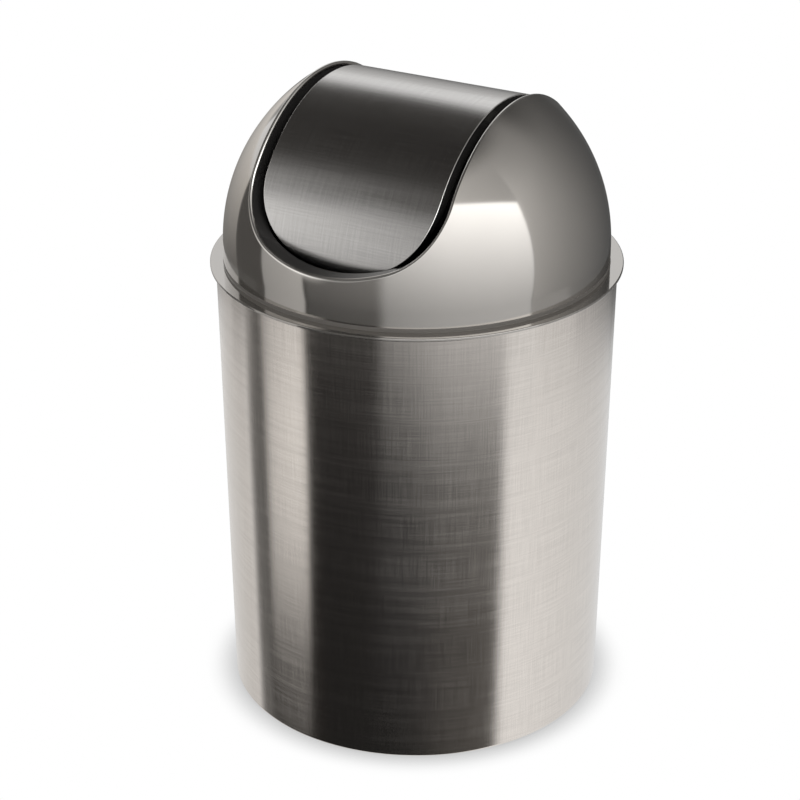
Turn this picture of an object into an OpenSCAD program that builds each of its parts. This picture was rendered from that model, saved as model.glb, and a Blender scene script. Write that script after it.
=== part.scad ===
// Countertop trash can with a swing lid.
// Millimetres. +Z is up, the front is -Y, and the origin is the middle of the foot, on the counter.
// The flap swings about an axis along X.

/* [Can] */
// Outside diameter of the wall just under the rim
wall_top_d = 141.9; // [138:0.1:146]
// Width of the rim's flange beyond the wall
flange_w = 1.3; // [1.1:0.05:8]
// Outside diameter of the wall at the foot
wall_foot_d = 136.4; // [130:0.1:140]
// Height of the rim above the counter
can_h = 165.1; // [120:0.1:220]
// Thickness of the steel sheet
sheet_t = 0.5; // [0.4:0.05:0.7]
// Inside radius of the bend under the rim
rim_bend_r = 0.5; // [0.3:0.1:1]
// Outside radius of the bend at the foot
foot_bend_r = 1.2; // [0.9:0.1:2]
// Width of the hem turned in at the foot
hem_w = 3; // [2:0.5:6]

/* [Base] */
// Height of the floor pan's underside above the counter
base_lift = 3; // [2.5:0.5:6]
// Gap between the floor pan and the wall
base_gap = 0.15; // [0.05:0.05:0.4]
// Diameter of a foot pad
pad_d = 14; // [8:1:24]
// Distance of the foot pads in from the hem
pad_inset = 9; // [1:1:30]
// Number of foot pads
pad_count = 4; // [3:1:8]

/* [Dome] */
// Gap between the dome's skirt and the wall at the rim
skirt_gap = 2.15; // [1.2:0.05:3.2]
// Height of the dome's centre above the rim
dome_lift = 7.6; // [4:0.2:10]
// Wall thickness of the dome
dome_t = 1.6; // [1.2:0.1:2.2]
// Thickness of the ledge that rests on the rim
ledge_t = 0.95; // [0.8:0.05:2]
// Step from the rim's edge out to the ledge's edge
ledge_over = 0.75; // [0.2:0.05:3]
// Depth of the skirt inside the can
skirt_depth = 14; // [10:0.5:20]
// Height of the bead at the bottom of the skirt
bead_h = 2.5; // [1.5:0.5:4]
// Clearance between the bead and the wall of the can
lid_gap = 0.15; // [0.05:0.05:0.4]

/* [Opening] */
// Width of the slot through the dome
slot_w = 74; // [70:0.5:76]
// Height of the sill above the rim
sill_lift = 17.1; // [15:0.1:20]
// Radius of the sill's shallow arc
sill_r = 72; // [50:1:100]
// Radius of the slot's lower corners
slot_corner_r = 21; // [12:0.5:28]

/* [Inner frame] */
// Wall thickness of the frame
frame_t = 1.5; // [1.2:0.1:2]
// Gap between the frame and the dome
frame_gap = 0.15; // [0.05:0.05:0.3]
// Step from the dome's cut edge back to the frame
reveal = 0.4; // [0.2:0.1:1]
// Gap between the flap's barrel and the shroud behind each sill
shroud_gap = 5.05; // [5:0.05:7]
// Thickness of the lobe floors
floor_t = 2; // [1.5:0.5:3]

/* [Cheeks] */
// Thickness of a cheek plate
cheek_t = 1.6; // [1.2:0.1:2.2]
// Width of a cheek's foot
cheek_foot_w = 10; // [8:0.5:12]
// Length of a cheek's foot
cheek_foot_l = 44; // [40:1:60]
// Distance between the two screws of a cheek
cheek_screw_pitch = 32; // [24:1:36]

/* [Flap] */
// Step from the dome's outside in to the flap's barrel
flap_inset = 12.3; // [11.8:0.1:14.3]
// Gap between the flap and the slot, at each side
flap_side_gap = 3.7; // [3.6:0.1:5]
// Height of the flap's lowest edge above the rim
flap_tip_lift = 14.4; // [13.5:0.1:16]
// Radius of the shallow arc at each end of the flap
flap_end_r = 46.4; // [40:0.2:60]
// Radius of the flap's corners
flap_corner_r = 26.5; // [20:0.5:28]
// Thickness of the steel skin
skin_t = 0.5; // [0.4:0.05:0.8]
// Thickness of the tray under the skin
tray_t = 1.5; // [1.2:0.1:2]
// Gap between the tray and the skin
tray_gap = 0.05; // [0.02:0.01:0.1]
// Step from the skin's edge in to the tray
tray_inset = 0.3; // [0.2:0.1:0.6]
// Width of the stiffening rim round the tray
tray_rim_w = 1.6; // [1.2:0.1:2.4]
// Depth of the stiffening rim round the tray
tray_rim_h = 3.5; // [2:0.5:4]

/* [Pivot] */
// Plastic left above the end of a pivot hub
hub_cover = 0.6; // [0.4:0.1:2]
// Diameter of a pivot pin
pin_d = 3; // [2.5:0.1:3.5]
// Radial clearance between a pin and its bush
pin_gap = 0.05; // [0.02:0.01:0.08]
// Wall thickness of a bush
bush_t = 1.4; // [1:0.1:1.8]
// Thickness of a bush's flange
bush_flange_t = 0.6; // [0.4:0.1:0.8]
// Length of a bush beyond its flange
bush_l = 3.4; // [2.5:0.1:4]
// Wall of the cheek round its bush
hub_wall = 1.5; // [1:0.1:2]
// Side play between the flap and a bush
side_play = 0.5; // [0.3:0.1:0.7]
// Thickness of the ear that holds a pin
ear_t = 3.5; // [2.5:0.5:5]
// Width of an ear
ear_w = 9; // [7:0.5:12]
// Diameter of a pin's head
pin_head_d = 5.6; // [4.5:0.1:7]
// Thickness of a pin's head
pin_head_t = 1; // [0.8:0.1:1.6]

/* [Swing stops] */
// Swing of the flap to each side, in degrees
swing = 75; // [45:1:80]
// Distance of the stop pegs from the swing axis
stop_ring_r = 8; // [7.5:0.1:9]
// Diameter of a stop peg
peg_d = 2.6; // [2:0.1:3]
// Width of the tail that meets the pegs
tail_w = 3.6; // [3:0.1:4.5]
// Gap left between tail and peg at full swing
stop_gap = 0.3; // [0.1:0.1:0.5]

/* [Screws] */
// Diameter of a screw's shank
screw_d = 2.6; // [2:0.1:3]
// Length of a screw's shank
screw_l = 8; // [7:0.5:10]
// Diameter of a screw's head
screw_head_d = 5; // [4:0.1:5.5]
// Height of a screw's head
screw_head_h = 1.6; // [1.2:0.1:2.2]
// Gap round a screw in its hole
screw_gap = 0.05; // [0.02:0.01:0.1]
// Wall of a boss round its screw
boss_wall = 2; // [1.5:0.1:2.5]
// Distance of the frame screws in from the frame's outside
boss_inset = 6.5; // [5.5:0.1:8]
// Gap between a frame screw's boss and the end of a cheek's foot, along Y
boss_gap = 1; // [0.3:0.1:4]

/* [Hidden] */
$fn = 96;
CUT = 0.5;   // how far a cutting body runs past what it cuts
FAR = 200;   // longer than any cut needs

wall_top_r = wall_top_d/2;
rim_r = wall_top_r + flange_w;
wall_foot_r = wall_foot_d/2;
hem_r = wall_foot_r - foot_bend_r;

dome_r = wall_in_r(can_h) - skirt_gap;
dome_in_r = dome_r - dome_t;
dome_z = can_h + dome_lift;
skirt_z = can_h - skirt_depth;
bead_r = wall_in_r(skirt_z) - lid_gap;
ledge_r = rim_r + ledge_over;

frame_r = dome_in_r - frame_gap;
frame_in_r = frame_r - frame_t;
cheek_x = slot_w/2 + reveal;
floor_z = can_h - floor_t;
cheek_screw_x = cheek_x + cheek_t + (cheek_foot_w - cheek_t)/2;

flap_half_w = slot_w/2 - flap_side_gap;
flap_r = dome_r - flap_inset;
shroud_in_r = flap_r + shroud_gap;
tray_r = flap_r - skin_t - tray_gap;
tray_half_w = flap_half_w - tray_inset;

bush_r = pin_d/2 + pin_gap + bush_t;
hub_r = bush_r + hub_wall;
pivot_z = dome_z + sqrt(pow(frame_r, 2) - pow(cheek_x + bush_l, 2)) - hub_r - hub_cover;
tail_x = cheek_x - bush_flange_t - side_play;
tail_l = stop_ring_r + peg_d/2;
tail_t = tail_x - flap_half_w - reveal;
peg_x = flap_half_w + reveal;
stop_angle = swing + asin((tail_w/2 + peg_d/2 + stop_gap)/stop_ring_r);

screw_hole_r = screw_d/2 + screw_gap;
boss_r = screw_hole_r + boss_wall;
screw_hole_l = screw_l + screw_gap;
boss_ring_r = frame_r - boss_inset;
boss_y = cheek_foot_l/2 + boss_gap + boss_r;
boss_angle = asin(boss_y/boss_ring_r);
frame_boss_h = screw_l - floor_t + boss_wall;
cheek_boss_h = screw_l - cheek_t - floor_t + boss_wall;

// Outside radius of the tapered wall at height z
function wall_r(z) = wall_foot_r + (wall_top_r - wall_foot_r)*z/can_h;

// Inside radius of the tapered wall at height z
function wall_in_r(z) = wall_r(z) - sheet_t;

// A slot's outline seen from the front: straight sides, round corners and a shallow arc below
module arched_outline(half_w, bottom, arc_r, corner_r) {
    corner_x = half_w - corner_r;
    drop = sqrt(pow(arc_r - corner_r, 2) - pow(corner_x, 2));
    arc_z = bottom + arc_r;
    wedge = 1.5*arc_r/drop;
    for (side = [-1, 1])
        translate([side*corner_x, arc_z - drop]) circle(corner_r);
    intersection() {
        translate([0, arc_z]) circle(arc_r);
        polygon([
            [0, arc_z],
            [-corner_x*wedge, arc_z - drop*wedge],
            [corner_x*wedge, arc_z - drop*wedge]
        ]);
    }
    translate([-half_w, arc_z - drop]) square([2*half_w, FAR]);
}

// The dome's slot, grown outwards by a step
module slot_outline(step = 0) {
    arched_outline(slot_w/2 + step, can_h + sill_lift - step, sill_r + step, slot_corner_r + step);
}

// The flap's outline, drawn in by a step
module flap_outline(step = 0) {
    arched_outline(flap_half_w - step, can_h + flap_tip_lift + step, flap_end_r - step, flap_corner_r - step);
}

// Runs an outline seen from the front through the part, front to back
module front_to_back() {
    rotate([90, 0, 0]) linear_extrude(2*FAR, center = true, convexity = 6) children();
}

// A quarter of a bent sheet: dx and dz say which way the quarter lies from its centre
module sheet_bend(centre, inner_r, dx, dz) {
    outer_r = inner_r + sheet_t;
    translate(centre) intersection() {
        difference() {
            circle(outer_r);
            circle(inner_r);
        }
        translate([dx < 0 ? -outer_r : 0, dz < 0 ? -outer_r : 0]) square(outer_r);
    }
}

// A body of revolution inside the dome: straight up to its centre, then round
module dome_core(radius, from_z) {
    translate([0, 0, from_z]) cylinder(r = radius, h = dome_z - from_z);
    translate([0, 0, dome_z]) intersection() {
        sphere(radius);
        cylinder(r = radius + CUT, h = radius + CUT);
    }
}

// A shell between two such bodies
module dome_shell(outer_r, inner_r, from_z) {
    difference() {
        dome_core(outer_r, from_z);
        dome_core(inner_r, from_z - CUT);
    }
}

// Everything within half_w of the middle plane, above from_z
module middle_slab(half_w, from_z) {
    translate([-half_w, -FAR, from_z]) cube([2*half_w, 2*FAR, FAR]);
}

// A cylinder along X between two distances from the middle, at height z
module x_rod(radius, from_x, to_x, y = 0, z = pivot_z) {
    translate([from_x, y, z]) rotate([0, 90, 0]) cylinder(r = radius, h = to_x - from_x);
}

// Puts its children at each frame screw
module at_frame_screws() {
    for (side = [0, 180], angle = [-boss_angle, boss_angle])
        rotate(side + angle) translate([boss_ring_r, 0, 0]) children();
}

// Puts its children at the two screws of the right-hand cheek
module at_cheek_screws() {
    for (end = [-1, 1])
        translate([cheek_screw_x, end*cheek_screw_pitch/2, 0]) children();
}

// Screw with its head's underside at z = 0 and its shank upwards
module screw() {
    cylinder(d = screw_d, h = screw_l);
    translate([0, 0, -screw_head_h]) cylinder(d = screw_head_d, h = screw_head_h);
}

module can_shell() {
    rim_x = wall_top_r + rim_bend_r;
    rim_bend_z = can_h - sheet_t - rim_bend_r;
    color("#a8a49c") rotate_extrude() {
        polygon([
            [wall_foot_r - sheet_t, foot_bend_r],
            [wall_foot_r, foot_bend_r],
            [wall_top_r, rim_bend_z],
            [wall_top_r - sheet_t, rim_bend_z]
        ]);
        sheet_bend([rim_x, rim_bend_z], rim_bend_r, -1, 1);
        translate([rim_x, can_h - sheet_t]) square([rim_r - rim_x, sheet_t]);
        sheet_bend([hem_r, foot_bend_r], foot_bend_r - sheet_t, 1, -1);
        translate([hem_r - hem_w, 0]) square([hem_w, sheet_t]);
    }
}

module can_base() {
    color("#8f8c86") {
        translate([0, 0, base_lift]) cylinder(r = wall_in_r(0) - base_gap, h = sheet_t);
        translate([0, 0, sheet_t]) difference() {
            cylinder(r = hem_r, h = base_lift - sheet_t);
            translate([0, 0, -CUT]) cylinder(r = hem_r - sheet_t, h = base_lift);
        }
    }
}

module foot_pads() {
    color("#2a2a2a") for (i = [0:pad_count - 1])
        rotate(i*360/pad_count + 45) translate([hem_r - hem_w - pad_inset - pad_d/2, 0, 0]) cylinder(d = pad_d, h = base_lift);
}

module lid_dome() {
    color("#96918a") {
        difference() {
            union() {
                dome_shell(dome_r, dome_in_r, skirt_z);
                // ledge that rests on the rim
                translate([0, 0, can_h]) difference() {
                    cylinder(r = ledge_r, h = ledge_t);
                    translate([0, 0, -CUT]) cylinder(r = dome_r - dome_t/2, h = ledge_t + 2*CUT);
                }
                // bead that centres the skirt in the can
                translate([0, 0, skirt_z]) difference() {
                    union() {
                        cylinder(r = bead_r, h = bead_h/2);
                        translate([0, 0, bead_h/2]) cylinder(r1 = bead_r, r2 = dome_r, h = bead_h/2);
                    }
                    translate([0, 0, -CUT]) cylinder(r = dome_r - dome_t/2, h = bead_h + 2*CUT);
                }
            }
            front_to_back() slot_outline();
        }
        intersection() {
            dome_core(dome_r - dome_t/2, can_h);
            at_frame_screws() translate([0, 0, can_h]) difference() {
                union() {
                    cylinder(r = boss_r, h = frame_boss_h);
                    translate([0, -frame_t/2, 0]) cube([FAR, frame_t, frame_boss_h]);
                }
                translate([0, 0, -CUT]) cylinder(r = screw_hole_r, h = screw_hole_l - floor_t + CUT);
            }
        }
    }
}

module lid_frame() {
    color("#1d1d1f") difference() {
        union() {
            // ring inside the skirt
            translate([0, 0, skirt_z]) difference() {
                cylinder(r = frame_r, h = skirt_depth);
                translate([0, 0, -CUT]) cylinder(r = frame_in_r, h = skirt_depth + 2*CUT);
            }
            // front and rear liners up to the sills, with a shroud round each sill
            difference() {
                intersection() {
                    dome_core(frame_r, can_h);
                    middle_slab(cheek_x - frame_gap, can_h);
                }
                dome_core(shroud_in_r, can_h - CUT);
                difference() {
                    dome_core(frame_in_r, can_h - CUT);
                    front_to_back() slot_outline(reveal + frame_t);
                }
                front_to_back() slot_outline(reveal);
            }
            // floors of the lobes, with bosses for the cheek screws
            difference() {
                translate([0, 0, floor_z]) cylinder(r = frame_in_r + frame_t/2, h = floor_t);
                middle_slab(cheek_x, floor_z - CUT);
            }
            for (turn = [0, 180])
                rotate(turn) at_cheek_screws()
                    translate([0, 0, floor_z - cheek_boss_h]) cylinder(r = boss_r, h = cheek_boss_h + floor_t/2);
        }
        at_frame_screws() translate([0, 0, floor_z - CUT]) cylinder(r = screw_hole_r, h = floor_t + 2*CUT);
        for (turn = [0, 180])
            rotate(turn) at_cheek_screws()
                translate([0, 0, can_h + cheek_t - screw_hole_l]) cylinder(r = screw_hole_r, h = screw_hole_l);
    }
}

// The right-hand cheek
module cheek() {
    color("#232325") difference() {
        intersection() {
            union() {
                translate([cheek_x, -FAR/2, can_h]) cube([cheek_t, FAR, FAR]);
                translate([cheek_x, -cheek_foot_l/2, can_h]) cube([cheek_foot_w, cheek_foot_l, cheek_t]);
                x_rod(hub_r, cheek_x, cheek_x + bush_l);
                for (way = [-1, 1])
                    x_rod(peg_d/2, peg_x, cheek_x + cheek_t/2,
                          way*stop_ring_r*sin(stop_angle), pivot_z - stop_ring_r*cos(stop_angle));
            }
            dome_core(frame_r, can_h);
        }
        x_rod(bush_r, cheek_x - CUT, cheek_x + bush_l + CUT);
        at_cheek_screws() translate([0, 0, can_h - CUT]) cylinder(r = screw_hole_r, h = cheek_t + 2*CUT);
    }
}

module cheek_right() {
    cheek();
}

module cheek_left() {
    rotate(180) cheek();
}

// The right-hand bush
module pivot_bush() {
    color("#e4e0d6") difference() {
        union() {
            x_rod(bush_r, cheek_x, cheek_x + bush_l);
            x_rod(bush_r + hub_wall/2, cheek_x - bush_flange_t, cheek_x);
        }
        x_rod(pin_d/2 + pin_gap, cheek_x - bush_flange_t - CUT, cheek_x + bush_l + CUT);
    }
}

module pivot_bush_right() {
    pivot_bush();
}

module pivot_bush_left() {
    rotate(180) pivot_bush();
}

module frame_screws() {
    color("#b9bcc0") at_frame_screws() translate([0, 0, floor_z]) screw();
}

module cheek_screws() {
    color("#b9bcc0") for (turn = [0, 180])
        rotate(turn) at_cheek_screws() translate([0, 0, can_h + cheek_t]) mirror([0, 0, 1]) screw();
}

// What lies between two barrels about the flap's own axis
module barrel(outer_r, inner_r, half_w) {
    difference() {
        x_rod(outer_r, -half_w, half_w, z = dome_z);
        x_rod(inner_r, -half_w - CUT, half_w + CUT, z = dome_z);
    }
}

module flap_skin() {
    color("#9c9a95") intersection() {
        barrel(flap_r, flap_r - skin_t, flap_half_w);
        front_to_back() flap_outline();
    }
}

// The right-hand ear, with the tail that meets the stop pegs
module ear() {
    tail_z = pivot_z - tail_l;
    x_rod(ear_w/2, tray_half_w - ear_t, tray_half_w);
    intersection() {
        translate([tray_half_w - ear_t, -ear_w/2, pivot_z]) cube([ear_t, ear_w, FAR]);
        x_rod(tray_r - tray_t/2, 0, tray_half_w, z = dome_z);
    }
    x_rod(tail_w/2 + bush_t/2, tray_half_w, tail_x);
    translate([tail_x - tail_t, -tail_w/2, tail_z]) cube([tail_t, tail_w, tail_l]);
}

module flap_tray() {
    color("#18181a") difference() {
        union() {
            intersection() {
                barrel(tray_r, tray_r - tray_t, tray_half_w);
                front_to_back() flap_outline(tray_inset);
            }
            intersection() {
                barrel(tray_r, tray_r - tray_t - tray_rim_h, tray_half_w);
                front_to_back() difference() {
                    flap_outline(tray_inset);
                    flap_outline(tray_inset + tray_rim_w);
                }
            }
            for (turn = [0, 180]) rotate(turn) ear();
        }
        x_rod(pin_d/2, -FAR, FAR);
    }
}

// The right-hand pin
module pivot_pin() {
    head_x = tray_half_w - ear_t;
    color("#c4c6c8") {
        x_rod(pin_d/2, head_x, cheek_x + bush_l - CUT);
        x_rod(pin_head_d/2, head_x - pin_head_t, head_x);
    }
}

module pivot_pin_right() {
    pivot_pin();
}

module pivot_pin_left() {
    rotate(180) pivot_pin();
}

can_shell();
can_base();
foot_pads();
lid_dome();
lid_frame();
cheek_left();
cheek_right();
pivot_bush_left();
pivot_bush_right();
frame_screws();
cheek_screws();
flap_skin();
flap_tray();
pivot_pin_left();
pivot_pin_right();
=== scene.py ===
"""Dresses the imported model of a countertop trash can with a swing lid.

Lengths in this file are in millimetres until mesh() turns them into metres. +Z is up, the front
is -Y, and the flap swings about an axis along X. Shapes repeat the sizes of the model's own pieces.
"""
import math

import bpy
import numpy as np
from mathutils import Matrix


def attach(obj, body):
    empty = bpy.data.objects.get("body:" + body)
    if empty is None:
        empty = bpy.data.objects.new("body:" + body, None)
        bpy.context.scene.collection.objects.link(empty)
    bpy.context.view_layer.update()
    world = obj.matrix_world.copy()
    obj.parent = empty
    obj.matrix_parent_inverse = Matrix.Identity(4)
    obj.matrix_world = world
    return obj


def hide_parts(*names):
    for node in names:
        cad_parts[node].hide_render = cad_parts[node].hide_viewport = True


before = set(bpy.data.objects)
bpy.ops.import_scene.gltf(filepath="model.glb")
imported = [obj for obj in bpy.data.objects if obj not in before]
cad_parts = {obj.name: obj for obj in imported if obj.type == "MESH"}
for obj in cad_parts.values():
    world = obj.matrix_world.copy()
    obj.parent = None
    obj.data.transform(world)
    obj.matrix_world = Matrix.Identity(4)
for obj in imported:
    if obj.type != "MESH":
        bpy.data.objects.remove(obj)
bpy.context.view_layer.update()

scene = bpy.context.scene

MM = 0.001          # a millimetre in metres
AXIS_R = 0.01       # where a turned outline meets its axis
EDGE_U = 1000.0     # UV offset that marks the flap's rounded edge, which takes a painted highlight
FOOT_SHADE_H = 1.5   # height of the band of painted shade, darker and rougher, where the dome meets its ledge
LIP_R, INNER_LIP_R = 0.8, 0.15                  # rounding of the slot's edge, outside and inside
LIP_HIGHLIGHT = (0.9, 1.5, 2.1, 2.6)               # along the skin over the lip: painted highlight starts, full, full, ends

# ---------------------------------------------------------------- sizes, as in the model
CAN_H = 165.1
WALL_TOP_R, WALL_FOOT_R = 70.95, 68.2
SHEET_T = 0.5
RIM_R = 72.25
HEM_R, HEM_W = 67.0, 3.0
BASE_LIFT, BASE_GAP = 3.0, 0.15
PAN_RING, PAN_RING_DEPTH = (20, 20.9, 23.1, 24), 0.7
PAD_D, PAD_RING_R = 14.0, 48.0

DOME_R, DOME_T, DOME_Z = 68.3, 1.6, 172.7
LEDGE_R, LEDGE_T = 73.0, 0.95
SKIRT_Z, BEAD_H, LID_GAP = 151.1, 2.5, 0.15
BOSS_R, BOSS_HOLE_R, BOSS_H, BOSS_CAP_T = 3.35, 1.35, 8.0, 1.9
BOSS_RING_R, BOSS_Y = 60.05, 26.35
BOSS_ANGLE = math.degrees(math.asin(BOSS_Y/BOSS_RING_R))
BOSS_TURNS = (BOSS_ANGLE, -BOSS_ANGLE, 180 + BOSS_ANGLE, 180 - BOSS_ANGLE)

SLOT_HALF_W, SILL_Z, SILL_R, SLOT_CORNER_R = 37.0, 182.2, 72.0, 21.0
FLAP_R, FLAP_HALF_W, FLAP_TIP_Z = 56.0, 33.3, 179.5
FLAP_END_R, FLAP_CORNER_R, SKIN_T = 46.4, 26.5, 0.5

PIVOT_Z, EAR_X, CHEEK_X, FLOOR_T = 220.22625, 29.5, 37.4, 2.0
PIN_R, PIN_HEAD_R, PIN_HEAD_H, PIN_PAST_CHEEK = 1.5, 2.8, 1.0, 2.9
BUSH_R, BUSH_L, BUSH_FLANGE_R, BUSH_FLANGE_T, BUSH_GAP = 2.95, 4.0, 3.7, 0.6, 0.05
SCREW_R, SCREW_L, SCREW_HEAD_R, SCREW_HEAD_H = 1.3, 8.0, 2.5, 1.6
CHEEK_SCREW_X, CHEEK_SCREW_Y, CHEEK_T = 43.2, 16.0, 1.6


# ---------------------------------------------------------------- mesh helpers
def mesh(name, parts, material, body, nodes):
    """One piece from parts, each (points, faces, normals, uvs) with a row per point, in mm."""
    points, faces, normals, uvs = [], [], [], []
    start = 0
    for p, f, n, uv in parts:
        points.append(p)
        normals.append(n)
        uvs.append(uv)
        faces += [tuple(i + start for i in facing(face, p, n)) for face in f]
        start += len(p)
    points, uvs = np.concatenate(points)*MM, np.concatenate(uvs)*MM
    normals = np.concatenate(normals)
    data = bpy.data.meshes.new(name)
    data.from_pydata(points.tolist(), [], faces)
    data.validate()
    data.update()
    data.shade_smooth()
    layer = data.uv_layers.new(name="UVMap")
    corner = np.empty(len(data.loops), np.int32)
    data.loops.foreach_get("vertex_index", corner)
    layer.data.foreach_set("uv", uvs[corner].astype(np.float32).ravel())
    data.normals_split_custom_set(normals[corner].tolist())
    data.materials.append(material)
    piece = bpy.data.objects.new(name, data)
    scene.collection.objects.link(piece)
    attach(piece, body)
    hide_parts(*nodes)


def unit(v):
    return v/np.linalg.norm(v, axis=-1, keepdims=True)


def angle_between(u, v):
    return math.acos(max(-1, min(1, float(u @ v))))


def facing(face, points, normals):
    """The face, turned over if it looks away from its points' normals."""
    corners = points[list(face)]
    centre = corners.mean(0)
    around = np.cross(corners - centre, np.roll(corners, -1, 0) - centre).sum(0)
    return face if around @ normals[list(face)].sum(0) >= 0 else face[::-1]


def grid_faces(rows, cols, closed_cols=False):
    """Quads over a grid of rows x cols points."""
    out = []
    for i in range(rows - 1):
        for j in range(cols if closed_cols else cols - 1):
            m = (j + 1) % cols
            out.append((i*cols + j, i*cols + m, (i + 1)*cols + m, (i + 1)*cols + j))
    return out


def rounded(corners, steps=6, spacing=6.0):
    """A closed outline with rounded corners: rows of (x, y), normals and lengths.

    corners are (x, y, radius), counter-clockwise, so that the normals point out."""
    pts = np.array([c[:2] for c in corners], float)
    count = len(pts)
    out, norm = [], []
    for i in range(count):
        before, here, after = pts[i - 1], pts[i], pts[(i + 1) % count]
        d0, d1 = unit(here - before), unit(after - here)
        n0, n1 = np.array([d0[1], -d0[0]]), np.array([d1[1], -d1[0]])
        turn, radius = angle_between(d0, d1), corners[i][2]
        reach = radius*math.tan(turn/2)
        convex = d0[0]*d1[1] - d0[1]*d1[0] > 0
        centre = here - d0*reach + (-n0 if convex else n0)*radius
        for k in range(steps + 1):
            n = unit(n0*(1 - k/steps) + n1*(k/steps))
            out.append(centre + (n if convex else -n)*radius)
            norm.append(n)
        end, nxt = here + d1*reach, pts[(i + 1) % count]
        d2 = unit(pts[(i + 2) % count] - nxt)
        gap = np.linalg.norm(nxt - end) - corners[(i + 1) % count][2]*math.tan(angle_between(d1, d2)/2)
        between = int(gap/spacing)
        for k in range(1, between + 1):
            out.append(end + d1*gap*k/(between + 1))
            norm.append(n1)
    out, norm = np.array(out), np.array(norm)
    length = np.concatenate([[0], np.cumsum(np.linalg.norm(np.diff(out, axis=0), axis=1))])
    return out, norm, length


def lathe(corners, segments, steps, spacing=6.0):
    """Turns a rounded closed outline of (radius, height, corner radius) about Z, its seam at +Y."""
    outline, norm, length = rounded(corners, steps, spacing)
    outline = np.vstack([outline, outline[:1]])
    norm = np.vstack([norm, norm[:1]])
    length = np.append(length, length[-1] + np.linalg.norm(outline[-1] - outline[-2]))
    angle = math.pi/2 + np.linspace(0, 2*np.pi, segments + 1)
    c, s = np.cos(angle), np.sin(angle)
    p = np.stack([outline[:, :1]*c, outline[:, :1]*s, np.repeat(outline[:, 1:], segments + 1, 1)], -1)
    n = np.stack([norm[:, :1]*c, norm[:, :1]*s, np.repeat(norm[:, 1:], segments + 1, 1)], -1)
    uv = np.stack(np.broadcast_arrays((angle*outline[:, 0].max())[None, :], length[:, None]), -1)
    faces = grid_faces(len(outline), segments + 1)
    return p.reshape(-1, 3), faces, n.reshape(-1, 3), uv.reshape(-1, 2)


def placed(part, rot=None, at=(0, 0, 0)):
    """A part turned by a 3x3 matrix and moved."""
    p, f, n, uv = part
    rot = np.eye(3) if rot is None else np.array(rot, float)
    return p @ rot.T + np.array(at, float), f, n @ rot.T, uv


def about_z(degrees):
    a = math.radians(degrees)
    return np.array([[math.cos(a), -math.sin(a), 0], [math.sin(a), math.cos(a), 0], [0, 0, 1]])


def ring_at(radius, degrees, z=0):
    """A point on a ring about the can's axis."""
    return radius*math.cos(math.radians(degrees)), radius*math.sin(math.radians(degrees)), z


ALONG_X = np.array([[0, 0, 1], [0, 1, 0], [-1, 0, 0]], float)   # Z of a part to +X
UPSIDE_DOWN = np.diag([1.0, -1.0, -1.0])


# ---------------------------------------------------------------- outlines seen from the front
class Arched:
    """Straight sides, round lower corners and a shallow arc below, as one curve from x = 0."""

    def __init__(self, half_w, bottom, arc_r, corner_r):
        self.half_w, self.arc_r, self.corner_r = half_w, arc_r, corner_r
        self.cx = half_w - corner_r
        self.arc_z = bottom + arc_r
        self.cz = self.arc_z - math.sqrt((arc_r - corner_r)**2 - self.cx**2)
        self.lean = math.asin(self.cx/(arc_r - corner_r))

    def lower(self, arc_steps, corner_steps):
        """(x, z, out_x, out_z) from the middle of the arc to the foot of the straight side."""
        rows = []
        for a in np.linspace(0, self.lean, arc_steps + 1)[:-1]:
            rows.append((self.arc_r*math.sin(a), self.arc_z - self.arc_r*math.cos(a),
                         math.sin(a), -math.cos(a)))
        for a in np.linspace(self.lean, math.pi/2, corner_steps + 1):
            rows.append((self.cx + self.corner_r*math.sin(a), self.cz - self.corner_r*math.cos(a),
                         math.sin(a), -math.cos(a)))
        return np.array(rows)


SLOT = Arched(SLOT_HALF_W, SILL_Z, SILL_R, SLOT_CORNER_R)
FLAP = Arched(FLAP_HALF_W, FLAP_TIP_Z, FLAP_END_R, FLAP_CORNER_R)


def slot_loop(radius, arc_steps=28, corner_steps=30, side_steps=72):
    """The slot's edge on a sphere about the dome's centre, one closed loop: points, outline normals."""
    low = SLOT.lower(arc_steps, corner_steps)
    depth = np.sqrt(radius**2 - low[:, 0]**2 - (low[:, 1] - DOME_Z)**2)
    front = np.stack([low[:, 0], -depth, low[:, 1]], -1)
    out = np.stack([low[:, 2], 0*depth, low[:, 3]], -1)
    ring = math.sqrt(radius**2 - SLOT_HALF_W**2)
    top = math.asin(depth[-1]/ring)
    psi = np.linspace(-top, top, side_steps + 1)[1:-1]
    side = np.stack([0*psi + SLOT_HALF_W, ring*np.sin(psi), DOME_Z + ring*np.cos(psi)], -1)
    flip = np.array([1, -1, 1])
    p = np.vstack([front, side, (front*flip)[::-1]])
    m = np.vstack([out, np.tile([1.0, 0, 0], (len(side), 1)), out[::-1]])
    mirror = np.array([-1, 1, 1])
    return np.vstack([p, (p*mirror)[::-1][1:-1]]), np.vstack([m, (m*mirror)[::-1][1:-1]])


def fillet(corner, a, w, na, nw, radius, steps):
    """Rounds the corner between directions a and w, from a surface of normal na to one of normal nw."""
    half = np.arccos(np.clip((a*w).sum(-1, keepdims=True), -1, 1))/2
    centre = corner + unit(a + w)*radius/np.sin(half)
    rows = []
    for k in range(steps + 1):
        n = unit(na*(1 - k/steps) + nw*(k/steps))
        rows.append((centre + n*radius, n))
    return rows


# ---------------------------------------------------------------- materials
def rgba(tint, level=1.0):
    """A colour for a socket, darker or lighter by level."""
    return tuple(v*level for v in tint) + (1,)


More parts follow.
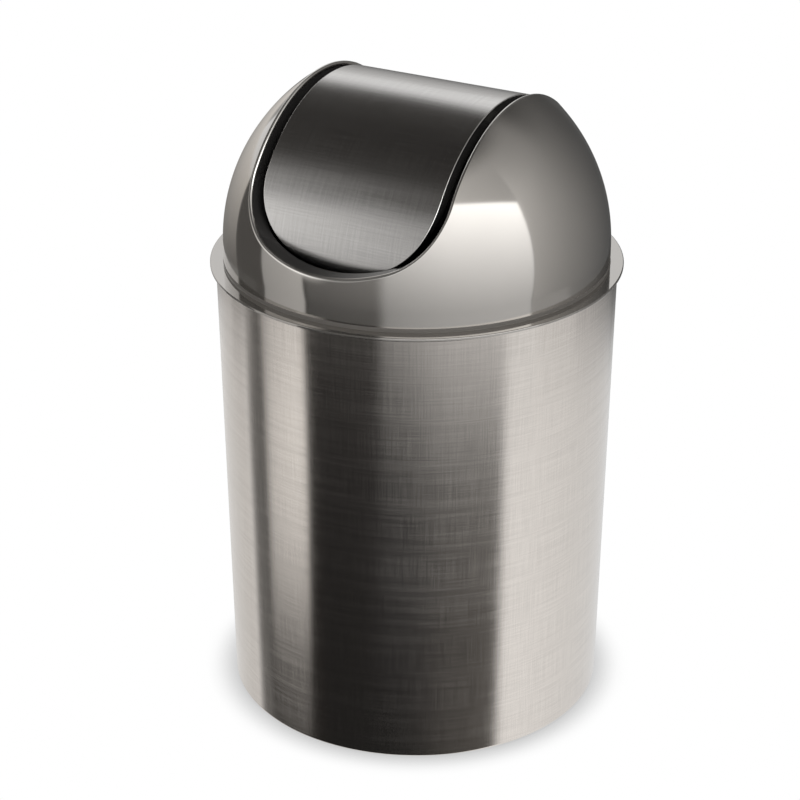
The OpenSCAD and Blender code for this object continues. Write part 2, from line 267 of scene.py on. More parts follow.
class Tree:
    """The node tree of a material or a world, with short calls for the nodes used here."""

    def __init__(self, owner):
        owner.use_nodes = True
        self.tree = owner.node_tree

    def add(self, kind, settings=None, **sockets):
        node = self.tree.nodes.new(kind)
        for key, value in (settings or {}).items():
            setattr(node, key, value)
        for key, value in sockets.items():
            self.put(node, key.replace("_", " "), value)
        return node

    def put(self, node, socket, value):
        """Links or sets an input, given by its name or number."""
        if isinstance(value, bpy.types.NodeSocket):
            self.tree.links.new(value, node.inputs[socket])
        else:
            node.inputs[socket].default_value = value

    def fill(self, node, values):
        """Gives a node's first inputs their values, and returns its first output."""
        for i, value in enumerate(values):
            self.put(node, i, value)
        return node.outputs[0]

    def math(self, operation, a, b):
        return self.fill(self.add("ShaderNodeMath", {"operation": operation}), (a, b))

    def ranged(self, value, lo, hi, to_lo, to_hi, kind="LINEAR"):
        node = self.add("ShaderNodeMapRange", {"interpolation_type": kind})
        return self.fill(node, (value, lo, hi, to_lo, to_hi))

    def end_in_mix(self, output, factor, first, second):
        """Ends the tree in a mix of two shader nodes."""
        mix = self.fill(self.add("ShaderNodeMixShader"), (factor, first.outputs[0], second.outputs[0]))
        self.put(self.add(output), "Surface", mix)


class Finish(Tree):
    """The material of a piece: a principled shader, and textures that lie fast on the piece."""

    def __init__(self, name):
        self.material = bpy.data.materials.new(name)
        super().__init__(self.material)
        self.shader = self.tree.nodes["Principled BSDF"]

    def set(self, **sockets):
        for key, value in sockets.items():
            self.put(self.shader, key.replace("_", " "), value)

    def coordinate(self, kind):
        return self.add("ShaderNodeTexCoord").outputs[kind]

    def axis(self, vector, letter):
        return self.add("ShaderNodeSeparateXYZ", None, Vector=vector).outputs[letter]

    def sheet_noise(self, uv, scale, shift=(0, 0), detail=2.0, rough=0.5):
        """Noise on a sheet, with its own scale per metre along U and along V."""
        spot = self.add("ShaderNodeMapping", None, Vector=uv, Scale=scale + (1,), Location=shift + (0,))
        node = self.add("ShaderNodeTexNoise", {"noise_dimensions": "2D"}, Vector=spot.outputs[0],
                        Scale=1.0, Detail=detail, Roughness=rough)
        return node.outputs[0]

    def solid_noise(self, scale, detail):
        """Noise through the whole piece, with its scale per metre."""
        node = self.add("ShaderNodeTexNoise", None, Vector=self.coordinate("Object"), Scale=scale,
                        Detail=detail)
        return node.outputs[0]

    def spread(self, noise, to_lo, to_hi):
        """Maps the middle of a noise, where nearly all its values lie, to a range."""
        return self.ranged(noise, 0.3, 0.7, to_lo, to_hi)

    def blend(self, factor, a, b):
        node = self.add("ShaderNodeMix", {"data_type": "RGBA"})
        for socket, value in ((0, factor), (6, a), (7, b)):
            self.put(node, socket, value)
        return node.outputs[2]

    def bump(self, height, distance, strength):
        node = self.add("ShaderNodeBump", None, Height=height, Distance=distance, Strength=strength)
        return node.outputs[0]


def linen_steel(name, tint, roughness, axis, turn, uneven=1.0):
    """Brushed steel with fine lines both ways, and longer streaks along the first UV direction.

    Its gloss spreads across the lines: along the tangent about the axis, turned by a part of a full
    turn. uneven scales the streaks. Where U is past most of EDGE_U, on the sheet's edge, the steel is
    smoother and coloured near white as a painted highlight."""
    line_lo, line_hi = 0.36, 0.64
    m = Finish(name)
    uv = m.coordinate("UV")
    # painted highlight: on the sheet's edge the steel is coloured near white, and made smoother
    edge_highlight = m.math("GREATER_THAN", m.axis(uv, "X"), 0.9*EDGE_U*MM)
    along = m.sheet_noise(uv, (45, 1900))
    across = m.sheet_noise(uv, (2100, 60), (3.1, 7.7))
    streak = m.sheet_noise(uv, (7, 300), (5.7, 2.3), detail=3, rough=0.6)
    cloud = m.sheet_noise(uv, (10, 16), (1.3, 4.1))
    lines = m.math("ADD", m.math("MULTIPLY", along, 0.5), m.math("MULTIPLY", across, 0.5))
    streak = m.ranged(streak, 0.42, 0.66, 0.0, 1.0, "SMOOTHSTEP")
    streak = m.math("MULTIPLY", streak, 0.02*uneven)
    colour = m.blend(m.ranged(lines, line_lo, line_hi, 0.0, 1.0), rgba(tint, 0.93), rgba(tint, 1.055))
    colour = m.blend(streak, colour, rgba(tint, 0.6))
    colour = m.blend(edge_highlight, colour, rgba((0.92, 0.90, 0.87)))
    rough = m.ranged(lines, line_lo, line_hi, roughness - 0.012, roughness + 0.012)
    rough = m.math("ADD", m.math("ADD", rough, streak), m.spread(cloud, -0.01, 0.01))
    rough = m.math("SUBTRACT", rough, m.math("MULTIPLY", edge_highlight, 0.08))
    tangent = m.add("ShaderNodeTangent", {"direction_type": "RADIAL", "axis": axis})
    m.set(Base_Color=colour, Metallic=1.0, Roughness=rough, Anisotropic=0.35, Anisotropic_Rotation=turn,
          Tangent=tangent.outputs[0], Normal=m.bump(lines, 0.0000025, 0.6))
    return m.material


def dome_finish():
    """Metallised plastic under a clear lacquer, with a faint haze.

    Over the slot's lip its colour is lighter, a painted highlight, and where it meets its ledge a darker,
    rougher band without lacquer is painted shade."""
    m = Finish("metallised_plastic")
    peel, haze = m.solid_noise(260.0, 2.0), m.solid_noise(34.0, 4.0)
    height = m.axis(m.coordinate("Object"), "Z")
    upward = m.axis(m.add("ShaderNodeNewGeometry").outputs["Normal"], "Z")
    ledge_z = (CAN_H + LEDGE_T)*MM
    # painted shade: the dome's foot just above its ledge is darker, rougher and without lacquer
    foot_shade = m.math("LESS_THAN", height, ledge_z + FOOT_SHADE_H*MM)
    foot_shade = m.math("MULTIPLY", foot_shade, m.math("LESS_THAN", upward, 0.6))
    foot_shade = m.math("MULTIPLY", foot_shade, m.math("GREATER_THAN", height, ledge_z - 0.02*MM))
    down = m.axis(m.coordinate("UV"), "Y")
    starts, full, fades, ends = (v*MM for v in LIP_HIGHLIGHT)
    # painted highlight: a much lighter colour along the slot's lip
    lip = m.math("MULTIPLY", m.ranged(down, starts, full, 0.0, 1.0), m.ranged(down, fades, ends, 1.0, 0.0))
    colour = m.blend(m.spread(haze, 0.0, 1.0), rgba((0.345, 0.325, 0.30)), rgba((0.365, 0.343, 0.317)))
    colour = m.blend(lip, colour, rgba((0.75, 0.725, 0.685)))
    m.set(Base_Color=m.blend(foot_shade, colour, rgba((0.155, 0.144, 0.131))),
          Metallic=m.math("SUBTRACT", 0.9, m.math("MULTIPLY", foot_shade, 0.6)),
          Roughness=m.math("ADD", m.spread(haze, 0.07, 0.10), m.math("MULTIPLY", foot_shade, 0.4)),
          Coat_Weight=m.math("SUBTRACT", 1.0, foot_shade), Coat_Roughness=0.03, Coat_IOR=1.6,
          Normal=m.bump(peel, 0.000004, 0.1))
    return m.material


def black_moulding(tint, roughness):
    """Glossy black injection moulding with a fine uneven skin."""
    m = Finish("black_moulding")
    grain, flow = m.solid_noise(900.0, 3.0), m.solid_noise(40.0, 3.0)
    m.set(Base_Color=m.blend(m.spread(flow, 0.0, 1.0), rgba(tint, 0.8), rgba(tint, 1.3)),
          Roughness=m.spread(grain, roughness - 0.03, roughness + 0.05), IOR=1.52,
          Normal=m.bump(grain, 0.00001, 0.3))
    return m.material


def plain_metal(name, tint, roughness, grain_scale):
    """Mill or plated steel with fine scratches and slight mottling."""
    m = Finish(name)
    grain, blot = m.solid_noise(grain_scale, 4.0), m.solid_noise(grain_scale*0.06, 3.0)
    m.set(Base_Color=m.blend(m.spread(blot, 0.0, 1.0), rgba(tint, 0.9), rgba(tint)), Metallic=1.0,
          Roughness=m.spread(grain, roughness - 0.06, roughness + 0.08), Normal=m.bump(grain, 0.00002, 0.25))
    return m.material


def soft_solid(name, tint, roughness, grain_scale, depth):
    """Foam rubber or nylon: pores or grain in colour, gloss and relief."""
    m = Finish(name)
    pores = m.add("ShaderNodeTexVoronoi", None, Vector=m.coordinate("Object"), Scale=grain_scale).outputs[0]
    tone = m.solid_noise(grain_scale*0.2, 4.0)
    m.set(Base_Color=m.blend(m.spread(tone, 0.0, 1.0), rgba(tint, 0.8), rgba(tint, 1.15)),
          Roughness=m.spread(tone, roughness - 0.06, roughness + 0.06), Normal=m.bump(pores, depth, 0.5))
    return m.material


CAN_STEEL = linen_steel("brushed_nickel_steel", (0.60, 0.558, 0.517), 0.165, "Z", 0.25)
FLAP_STEEL = linen_steel("brushed_flap_steel", (0.61, 0.598, 0.585), 0.19, "X", 0.0, uneven=0.5)
DOME_PLASTIC = dome_finish()
BLACK = black_moulding((0.026, 0.025, 0.024), 0.18)
BASE_STEEL = plain_metal("mill_steel", (0.56, 0.55, 0.53), 0.36, 1400.0)
BRIGHT_STEEL = plain_metal("zinc_plated_steel", (0.66, 0.665, 0.68), 0.24, 5000.0)
PAD_FOAM = soft_solid("foam_rubber", (0.035, 0.035, 0.037), 0.85, 1600.0, 0.00012)
NYLON = soft_solid("natural_nylon", (0.72, 0.69, 0.6), 0.42, 2600.0, 0.00002)


# ---------------------------------------------------------------- the can
def wall_r(z):
    return WALL_FOOT_R + (WALL_TOP_R - WALL_FOOT_R)*z/CAN_H


can_wall = [
    (HEM_R - HEM_W, 0, 0.2), (wall_r(0), 0, 1.2), (wall_r(CAN_H - SHEET_T), CAN_H - SHEET_T, 0.5),
    (RIM_R, CAN_H - SHEET_T, 0.2), (RIM_R, CAN_H, 0.24), (wall_r(CAN_H) - SHEET_T, CAN_H, 1.0),
    (wall_r(SHEET_T) - SHEET_T, SHEET_T, 0.7), (HEM_R - HEM_W, SHEET_T, 0.2),
]
mesh("can_wall", [lathe(can_wall, 384, 8, 8.0)], CAN_STEEL, "can", ["can_shell"])

pan_r = wall_r(0) - SHEET_T - BASE_GAP
hem_in, seat, top = HEM_R - SHEET_T, BASE_LIFT - 0.01, BASE_LIFT + SHEET_T
r0, r1, r2, r3 = PAN_RING
floor_pan = [
    (AXIS_R, BASE_LIFT, 0), (r0, BASE_LIFT, 0.6), (r1, BASE_LIFT - PAN_RING_DEPTH, 0.6),
    (r2, BASE_LIFT - PAN_RING_DEPTH, 0.6), (r3, BASE_LIFT, 0.6), (hem_in, BASE_LIFT, 0.4),
    (hem_in, SHEET_T, 0.1), (HEM_R, SHEET_T, 0.1), (HEM_R, seat, 0.1), (pan_r, seat, 0.1), (pan_r, top, 0.2),
    (r3, top, 0.6), (r2, top - PAN_RING_DEPTH, 0.6), (r1, top - PAN_RING_DEPTH, 0.6), (r0, top, 0.6),
    (AXIS_R, top, 0),
]
mesh("can_floor_pan", [lathe(floor_pan, 192, 4, 8.0)], BASE_STEEL, "can", ["can_base"])

pad_top = BASE_LIFT - 0.02
pad = lathe([(AXIS_R, 0, 0), (PAD_D/2, 0, 0.5), (PAD_D/2, pad_top, 0.3), (AXIS_R, pad_top, 0)], 64, 5)
pads = [placed(pad, about_z(a), ring_at(PAD_RING_R, a)) for a in (45, 135, 225, 315)]
mesh("can_foot_pads", pads, PAD_FOAM, "can", ["foot_pads"])


# ---------------------------------------------------------------- the dome
def dome_shell():
    """The dome as one closed skin: outside down its meridians, skirt, inside back up, and a round lip."""
    inner_r = DOME_R - DOME_T
    centre = np.array([0, 0, DOME_Z])
    edge, m = slot_loop(DOME_R)
    n = unit(edge - centre)
    a = unit(m - (m*n).sum(-1, keepdims=True)*n)
    w = -unit(n - (n*m).sum(-1, keepdims=True)*m)
    lip = fillet(edge, a, w, n, -m, LIP_R, 10)
    edge_in, m_in = slot_loop(inner_r)
    n_in = unit(edge_in - centre)
    a_in = unit(m_in - (m_in*n_in).sum(-1, keepdims=True)*n_in)
    w_in = -unit(n_in - (n_in*m_in).sum(-1, keepdims=True)*m_in)
    inner = fillet(edge_in, -w_in, a_in, -m_in, -n_in, INNER_LIP_R, 4)

    def meridian(start, radius, rows):
        """Rows from the points down to the dome's equator: points and normals."""
        v = start - centre
        turn = np.arctan2(v[:, 1], v[:, 0])
        rise = np.arcsin(v[:, 2]/np.linalg.norm(v, axis=1))
        out = []
        for k in range(rows + 1):
            e = rise*(1 - k/rows)
            d = np.stack([np.cos(turn)*np.cos(e), np.sin(turn)*np.cos(e), np.sin(e)], -1)
            out.append((centre + d*radius, d))
        return out

    outside = meridian(lip[0][0], DOME_R, 44)
    inside = [(p, -d) for p, d in reversed(meridian(inner[-1][0], inner_r, 20))]
    turn = np.arctan2(edge[:, 1], edge[:, 0])
    bead_r = wall_r(SKIRT_Z) - SHEET_T - LID_GAP
    profile, norm, _ = rounded([
        (inner_r, DOME_Z, 0), (inner_r, SKIRT_Z, 0.3), (bead_r, SKIRT_Z, 0.5),
        (bead_r, SKIRT_Z + BEAD_H/2, 0.4), (DOME_R, SKIRT_Z + BEAD_H, 0.8), (DOME_R, CAN_H, 0.2),
        (LEDGE_R, CAN_H, 0.15), (LEDGE_R, CAN_H + LEDGE_T, 0.3), (DOME_R, CAN_H + LEDGE_T, 0.1),
        (DOME_R, DOME_Z, 0)], 5, 4.0)
    keep = profile[:, 1] < DOME_Z - 0.5     # the meridians bring the rows at the equator
    skirt = []
    for (r, z), (nr, nz) in reversed(list(zip(profile[keep], norm[keep]))):
        d = np.stack([np.cos(turn), np.sin(turn), 0*turn], -1)
        skirt.append((d*r + [0, 0, z], d*nr + [0, 0, nz]))
    rows = inner[::-1] + lip[::-1] + outside + skirt + inside
    points, normals = np.array([r[0] for r in rows]), np.array([r[1] for r in rows])
    count = points.shape[1]
    points, normals = (np.concatenate([g, g[:, :1]], 1) for g in (points, normals))
    around = np.unwrap(np.append(turn, turn[0] + 2*np.pi))*DOME_R
    steps = np.linalg.norm(np.diff(points, axis=0), axis=-1)
    down = np.cumsum(np.vstack([np.zeros(count + 1), steps]), 0)
    uv = np.stack([np.broadcast_to(around, down.shape), down], -1)
    return (points.reshape(-1, 3), grid_faces(len(rows), count + 1),
            normals.reshape(-1, 3), uv.reshape(-1, 2))


def screw_bosses():
    """The dome's four screw bosses, each with a rib out to the wall."""
    top = CAN_H + BOSS_H
    tube = lathe([(BOSS_HOLE_R, CAN_H, 0.2), (BOSS_R, CAN_H, 0.3), (BOSS_R - 0.15, top, 0.4),
                  (AXIS_R, top, 0), (AXIS_R, top - BOSS_CAP_T, 0),
                  (BOSS_HOLE_R, top - BOSS_CAP_T - 0.05, 0.1)], 48, 4)
    rib_x0, rib_x1, half_t = BOSS_R - 0.4, DOME_R - DOME_T - BOSS_RING_R + 0.25, 0.7
    outline, norm, _ = rounded([(rib_x0, -half_t, 0.1), (rib_x1, -half_t, 0.1), (rib_x1, half_t, 0.1),
                                (rib_x0, half_t, 0.1)], 3)
    count = len(outline)
    p = np.array([[x, y, z] for z in (CAN_H + 0.05, top - 0.3) for x, y in outline])
    n = np.array([[x, y, 0] for _ in (0, 1) for x, y in norm])
    ends = [tuple(range(count, 2*count)), tuple(range(count))]
    rib = (p, grid_faces(2, count, closed_cols=True) + ends, n, np.zeros((2*count, 2)))
    out = []
    for a in BOSS_TURNS:
        out += [placed(tube, None, ring_at(BOSS_RING_R, a)), placed(rib, about_z(a), ring_at(BOSS_RING_R, a))]
    return out


mesh("lid_dome_shell", [dome_shell()] + screw_bosses(), DOME_PLASTIC, "lid", ["lid_dome"])


# ---------------------------------------------------------------- the flap's steel skin
def flap_skin():
    """A curved sheet with rounded ends and a softened edge all round."""
    low = FLAP.lower(18, 30)
    low = np.vstack([(low*[-1, 1, -1, 1])[::-1][:-1], low])
    x, z, ox, oz = low.T
    edge_r, cols, rows = SKIN_T/2, len(x), 96

    def surface(radius, inset):
        """Columns at constant x from the front edge to the rear edge, drawn in by inset."""
        xi, zi = x - ox*inset, z - oz*inset
        top = np.arccos(np.clip((zi - DOME_Z)/radius, -1, 1))
        psi = top[:, None]*np.linspace(-1, 1, rows + 1)[None, :]
        xs = np.broadcast_to(xi[:, None], psi.shape)
        p = np.stack([xs, radius*np.sin(psi), DOME_Z + radius*np.cos(psi)], -1)
        d = np.stack([0*psi, np.sin(psi), np.cos(psi)], -1)
        return p, d, np.stack([xs, psi*FLAP_R], -1)

    def border(grid):
        """The grid's outermost points, once round."""
        return np.concatenate([grid[0, :-1], grid[:-1, -1], grid[-1, :0:-1], grid[:0:-1, 0]])

    p, d, uv = surface(FLAP_R, edge_r)
    q, e, _ = surface(FLAP_R - SKIN_T, edge_r)
    faces = grid_faces(cols, rows + 1)
    parts = [(p.reshape(-1, 3), faces, d.reshape(-1, 3), uv.reshape(-1, 2)),
             (q.reshape(-1, 3), faces, -e.reshape(-1, 3), uv.reshape(-1, 2))]
    # the rounded edge, half a turn from the outer face to the inner one
    rim, rim_n = border(p), border(d)
    out_x, out_z, side = (border(np.broadcast_to(v[:, None], (cols, rows + 1)))
                          for v in (ox, oz, np.arange(cols)))
    straight = (side == 0) | (side == cols - 1)
    out = np.stack([np.where(straight, np.sign(out_x), out_x), 0*out_x, np.where(straight, 0, out_z)], -1)
    out = unit(out - (out*rim_n).sum(-1, keepdims=True)*rim_n)
    turns = np.linspace(0, math.pi, 9)
    ring = np.array([rim - rim_n*edge_r + (rim_n*math.cos(t) + out*math.sin(t))*edge_r for t in turns])
    ring_n = np.array([rim_n*math.cos(t) + out*math.sin(t) for t in turns])
    ring_uv = np.broadcast_to(border(uv) + [EDGE_U, 0], ring.shape[:2] + (2,))
    parts.append((ring.reshape(-1, 3), grid_faces(len(turns), len(rim), closed_cols=True),
                  ring_n.reshape(-1, 3), ring_uv.reshape(-1, 2)))
    return parts


mesh("flap_steel_skin", flap_skin(), FLAP_STEEL, "flap", ["flap_skin"])


# ---------------------------------------------------------------- pins, bushes and screws
pin_l = CHEEK_X + PIN_PAST_CHEEK - EAR_X + PIN_HEAD_H
pin = lathe([(AXIS_R, 0, 0), (PIN_HEAD_R, 0, 0.35), (PIN_HEAD_R, PIN_HEAD_H, 0.2), (PIN_R, PIN_HEAD_H, 0.1),
             (PIN_R, pin_l, 0.4), (AXIS_R, pin_l, 0)], 64, 4)
pin = placed(pin, ALONG_X, (EAR_X - PIN_HEAD_H, 0, PIVOT_Z))
bush_in = PIN_R + BUSH_GAP
bush = lathe([(bush_in, 0, 0.15), (BUSH_FLANGE_R, 0, 0.15), (BUSH_FLANGE_R, BUSH_FLANGE_T, 0.1),
              (BUSH_R, BUSH_FLANGE_T, 0.05), (BUSH_R, BUSH_L, 0.3), (bush_in, BUSH_L, 0.15)], 64, 4)
bush = placed(bush, ALONG_X, (CHEEK_X - BUSH_FLANGE_T, 0, PIVOT_Z))
for side, turn in (("right", 0), ("left", 180)):
    mesh("flap_pin_" + side, [placed(pin, about_z(turn))], BRIGHT_STEEL, "flap", ["pivot_pin_" + side])
    mesh("lid_bush_" + side, [placed(bush, about_z(turn))], NYLON, "lid", ["pivot_bush_" + side])


def cross_screw():
    """Pan-head screw, head down at z < 0: turned thread and head, and a cross that marks the head."""
    root_r, crest_r, turns = SCREW_R - 0.25, SCREW_R - 0.01, 7
    thread = [(AXIS_R, -0.4, 0), (root_r, -0.4, 0)]
    for k in range(turns):
        z = 0.6 + k
        thread += [(root_r, z - 0.32, 0.02), (crest_r, z, 0.02), (root_r, z + 0.32, 0.02)]
    body = lathe(thread + [(0.35, SCREW_L, 0.1), (AXIS_R, SCREW_L, 0)], 32, 2, 9)
    head = lathe([(0.3, 0, 0.05), (0.3, -SCREW_HEAD_H, 0.05), (SCREW_HEAD_R - 0.3, -SCREW_HEAD_H, 0.9),
                  (SCREW_HEAD_R, -0.1, 0.25), (SCREW_HEAD_R - 0.02, 0, 0.02)], 48, 5)
    # the cross: its four wings, from just outside the head's face down into it
    wing, arm, rise, sink, taper = 0.3, 1.25, 0.012, 0.5, 0.7
    outline, norm, _ = rounded([(wing, -wing, 0.05), (arm, -wing, 0.1), (arm, wing, 0.1), (wing, wing, 0.05),
                                (wing, arm, 0.1), (-wing, arm, 0.1), (-wing, wing, 0.05), (-arm, wing, 0.1),
                                (-arm, -wing, 0.1), (-wing, -wing, 0.05), (-wing, -arm, 0.1),
                                (wing, -arm, 0.1)], 2)
    count = len(outline)
    p = np.array([[x*s, y*s, z - SCREW_HEAD_H] for z, s in ((-rise, 1.0), (sink, taper)) for x, y in outline])
    n = np.array([[-x, -y, 0] for _ in (0, 1) for x, y in norm])
    cross = (p, grid_faces(2, count, closed_cols=True) + [tuple(range(count, 2*count))],
             n, np.zeros((2*count, 2)))
    return [body, head, cross]


def screws(name, node, places, rot):
    parts = [placed(part, rot, at) for at in places for part in cross_screw()]
    mesh(name, parts, BRIGHT_STEEL, "lid", [node])


heads = [ring_at(BOSS_RING_R, a, CAN_H - FLOOR_T) for a in BOSS_TURNS]
screws("lid_frame_screws", "frame_screws", heads, None)
feet = [(sx*CHEEK_SCREW_X, sy*CHEEK_SCREW_Y, CAN_H + CHEEK_T) for sx in (-1, 1) for sy in (-1, 1)]
screws("lid_cheek_screws", "cheek_screws", feet, UPSIDE_DOWN)

# the plain mouldings keep the model's own shape and take the black finish
for node in ("lid_frame", "cheek_left", "cheek_right", "flap_tray"):
    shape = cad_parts[node]
    shape.data.materials.clear()
    shape.data.materials.append(BLACK)


# ---------------------------------------------------------------- floor, backdrop and light
VIEW_AZ = 29.2      # where the camera stands round the can, in degrees from the front
HUB = np.array([0, 0, 0.12])


def stage_object(name, data, material):
    data.materials.append(material)
    thing = bpy.data.objects.new(name, data)
    scene.collection.objects.link(thing)
    return thing


def bare_tree(owner):
    """The owner's node tree with nothing in it."""
    m = Tree(owner)
    m.tree.nodes.clear()
    return m


def glow_material(name, strength, tint):
    """A glow with the brightness of the level attribute, see-through where the cover attribute falls."""
    material = bpy.data.materials.new(name)
    m = bare_tree(material)
    cover, level = (m.add("ShaderNodeAttribute", {"attribute_name": key}).outputs["Fac"]
                    for key in ("cover", "level"))
    glow = m.add("ShaderNodeEmission", None, Color=rgba(tint), Strength=m.math("MULTIPLY", level, strength))
    m.end_in_mix("ShaderNodeOutputMaterial", cover, m.add("ShaderNodeBsdfTransparent"), glow)
    return material


def faded(depth, width):
    """0 at an edge and 1 from width degrees inside it, smooth at both ends."""
    t = np.clip(depth/max(width, 1e-3), 0, 1)
    return t*t*(3 - 2*t)


def panel(name, az, el, strength, fade, levels=((1, 1), (1, 1)), far=3.0, slant=(0, 0), curve=(1, 1),
          tint=(1, 0.992, 0.98)):
    """A curved panel round the can, far metres away and seen in its metal only.

    az and el are its ends in degrees, az from the camera's side and positive to the right.
    fade is how many degrees it fades over at its left, right, lower and upper edges, and levels
    are its brightness at (left, right) of its lower and of its upper edge, times strength. slant
    lifts the lower edge at the left and the upper edge at the right, in degrees. curve above 1
    speeds the levels' change at the left, and slows it at the foot. tint is its colour."""
    cols, rows = 65, 49
    s, t = np.meshgrid(np.linspace(0, 1, cols), np.linspace(0, 1, rows))
    foot, top = el[0] + slant[0]*(1 - s)**3, el[1] + slant[1]*s**3
    a, e = az[0] + (az[1] - az[0])*s, foot + (top - foot)*t
    turn, rise = np.radians(VIEW_AZ + a), np.radians(e)
    p = HUB + far*np.stack([np.sin(turn)*np.cos(rise), -np.cos(turn)*np.cos(rise), np.sin(rise)], -1)
    s, t = 1 - (1 - s)**curve[0], t**curve[1]
    level = (levels[0][0]*(1 - s) + levels[0][1]*s)*(1 - t) + (levels[1][0]*(1 - s) + levels[1][1]*s)*t
    cover = (faded(a - az[0], fade[0])*faded(az[1] - a, fade[1])
             * faded(e - foot, fade[2])*faded(top - e, fade[3]))
    data = bpy.data.meshes.new(name)
    data.from_pydata(p.reshape(-1, 3).tolist(), [], grid_faces(rows, cols))
    for key, values in (("level", level), ("cover", cover)):
        attribute = data.attributes.new(key, "FLOAT", "POINT")
        attribute.data.foreach_set("value", values.astype(np.float32).ravel())
    thing = stage_object(name, data, glow_material(name, strength, tint))
    thing.visible_camera = thing.visible_diffuse = thing.visible_shadow = False
    thing.visible_transmission = thing.visible_volume_scatter = False


WARM, COOL = (1, 0.95, 0.89), (1, 1.01, 1.02)
# the dim room behind the lights, and the flags, backdrops and floor on the left and behind the can
panel("room_behind_camera", (-112, 100), (-88, 88), 0.02, (8, 40, 4, 4), far=4.0, tint=WARM)
panel("ceiling", (-180, 180), (29, 89.9), 1.0, (0, 0, 13, 0), ((0.085, 0.085), (0.0, 0.0)), far=3.9,
      tint=WARM)
panel("room_front_left", (-68, -15), (-25, 20), 1.0, (4, 4, 3, 10), ((0.10, 0.17), (0.35, 0.6)), far=3.5)
panel("floor_front", (-30, 60), (-80, -27), 1.0, (20, 6, 8, 4), ((0.0, 0.12), (0.0, 0.12)), far=3.6,
      tint=WARM)
panel("flag_left", (-131, -98), (-24, 60), 0.085, (2, 2, 2, 8), far=3.2, tint=WARM)
panel("flag_left_low", (-119, -101), (-80, -23), 0.17, (7, 4, 8, 2), far=3.2)
panel("backdrop_left", (-172, -128), (-24, 5), 1.0, (3, 2, 3, 4), ((0.13, 0.13), (0.95, 0.95)), far=3.3,
      curve=(1, 1.4), tint=WARM)
panel("floor_left", (-175, -119), (-80, -22), 0.82, (3, 3, 8, 3), far=3.4)
panel("backdrop_low", (150, 210), (-14, 22), 1.0, (3, 3, 3, 4), ((0.0, 0.0), (0.75, 0.75)), far=3.35)
# the softboxes at the left and in front, with the flag under the front one
panel("softbox_left", (-101, -67), (-34, 54), 1.0, (2, 2, 4, 40), ((0.5, 0.77), (1.35, 1.6)), far=3.1,
      curve=(1, 1.6))
panel("softbox_left_low", (-99, -66), (-33.5, -24.5), 1.0, (5, 2, 4, 1), ((0.7, 1.15), (0.95, 1.6)), far=3.06)
panel("softbox_left_wing", (-76, -50), (-12, 42), 1.0, (3, 14, 4, 26), ((0.9, 0.85), (1.5, 1.35)), far=3.05)
panel("softbox_key", (-25, 70), (-29, 42), 3.0, (9, 1.5, 5, 1.5), ((0.145, 0.29), (0.68, 1.07)),
      slant=(0, -14.5), curve=(2.6, 1.55), tint=COOL)
panel("key_flag", (-60, 22), (-60, -24), 0.02, (3, 38, 3, 2), far=2.9)
# what the key light falls on: ceiling, right-hand wall and floor, and the dark behind them
panel("ceiling_glow", (0, 135), (20, 66), 1.0, (16, 30, 1, 18), ((1.5, 0.25), (0.95, 0.14)), far=3.25)
panel("wall_right", (69, 160), (-25, 52), 1.0, (1, 8, 4, 30), ((0.65, 0.09), (1.2, 0.03)), far=3.2,
      curve=(1.7, 1))
panel("room_right", (95, 172), (-30, 60), 0.02, (10, 4, 5, 20), far=3.8)
panel("flag_right", (148, 169), (-26, 60), 0.09, (6, 3, 8, 20), far=3.3)
panel("floor_right", (48, 180), (-80, -21.5), 1.0, (8, 0, 8, 3), ((1.2, 0.85), (1.2, 0.75)), far=3.4,
      tint=COOL)
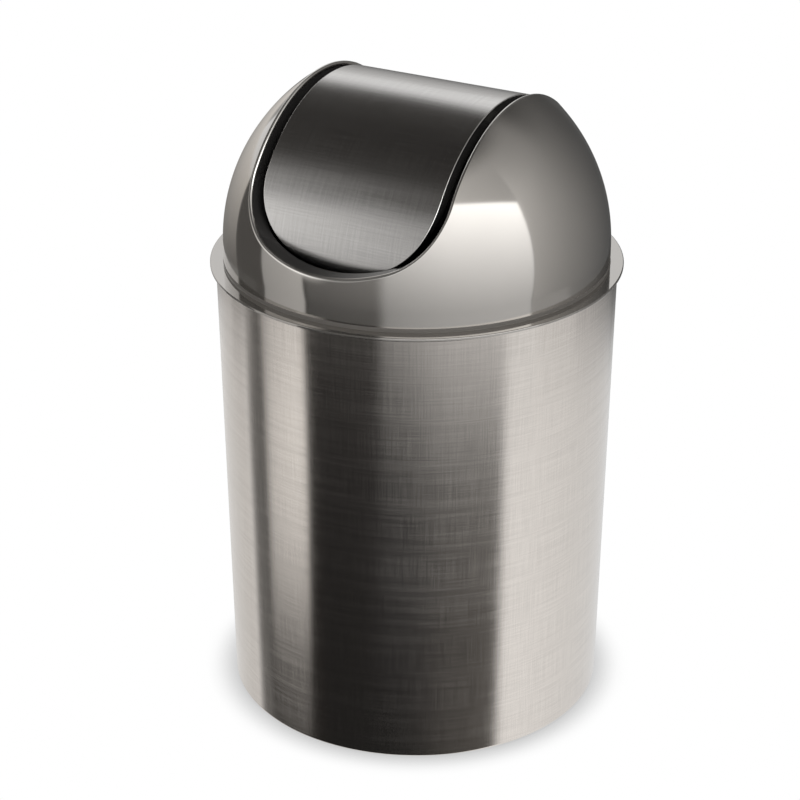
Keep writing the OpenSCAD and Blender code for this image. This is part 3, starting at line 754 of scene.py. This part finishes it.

# the floor: white to the camera, with a painted shadow where the can stands: its glow dims with ambient
# occlusion
FLOOR_HALF, SHADOW_REACH = 6.0, 0.018       # metres
pale_floor = bpy.data.materials.new("pale_floor")
m = bare_tree(pale_floor)
open_sky = m.add("ShaderNodeAmbientOcclusion", {"samples": 16}, Distance=SHADOW_REACH).outputs["AO"]
glow = m.add("ShaderNodeEmission", None, Strength=m.ranged(open_sky, 0.42, 0.9, 0.58, 1.0, "SMOOTHSTEP"))
m.end_in_mix("ShaderNodeOutputMaterial", m.add("ShaderNodeLightPath").outputs["Is Camera Ray"],
             m.add("ShaderNodeBsdfDiffuse", None, Color=(0.82, 0.82, 0.82, 1)), glow)
data = bpy.data.meshes.new("floor")
corners = [(-FLOOR_HALF, -FLOOR_HALF, 0), (FLOOR_HALF, -FLOOR_HALF, 0), (FLOOR_HALF, FLOOR_HALF, 0),
           (-FLOOR_HALF, FLOOR_HALF, 0)]
data.from_pydata(corners, [], [(0, 1, 2, 3)])
stage_object("floor", data, pale_floor).visible_glossy = False

# the world: white where it is looked at or mirrored, dimmer as a light
world = bpy.data.worlds.new("studio")
scene.world = world
m = bare_tree(world)
path = m.add("ShaderNodeLightPath").outputs
seen = m.math("MAXIMUM", m.math("MAXIMUM", path["Is Camera Ray"], path["Is Glossy Ray"]),
              path["Is Transmission Ray"])
room, white = (m.add("ShaderNodeBackground", None, Color=(1, 1, 1, 1), Strength=level)
               for level in (0.55, 1.0))
m.end_in_mix("ShaderNodeOutputWorld", seen, room, white)


def lamp(name, az, el, distance, size, energy):
    """A soft area lamp that aims at the can and isn't itself mirrored in it."""
    data = bpy.data.lights.new(name, "AREA")
    data.shape, data.size, data.energy = "DISK", size, energy
    thing = bpy.data.objects.new(name, data)
    turn, rise = math.radians(VIEW_AZ + az), math.radians(el)
    back = np.array([math.sin(turn)*math.cos(rise), -math.cos(turn)*math.cos(rise), math.sin(rise)])
    thing.location = HUB + back*distance
    thing.rotation_euler = (math.pi/2 - rise, 0, turn)
    thing.visible_glossy = False
    scene.collection.objects.link(thing)


lamp("fill_left", -75, 35, 2.2, 1.2, 14)
lamp("key_right", 35, 50, 2.2, 1.2, 20)

# the camera that the photo's outline was fitted to
CAMERA_AT, CAMERA_TILT = (0.3835, -0.6984, 0.4910), 64.387      # metres, and degrees up from straight down
camera = bpy.data.cameras.new("camera")
camera.lens, camera.sensor_width = 109.25, 36.0
camera.clip_start, camera.clip_end = 0.05, 50.0
eye = bpy.data.objects.new("camera", camera)
eye.location = CAMERA_AT
eye.rotation_euler = (math.radians(CAMERA_TILT), 0.0, math.radians(VIEW_AZ))
scene.collection.objects.link(eye)
scene.camera = eye
scene.view_settings.view_transform = "Standard"
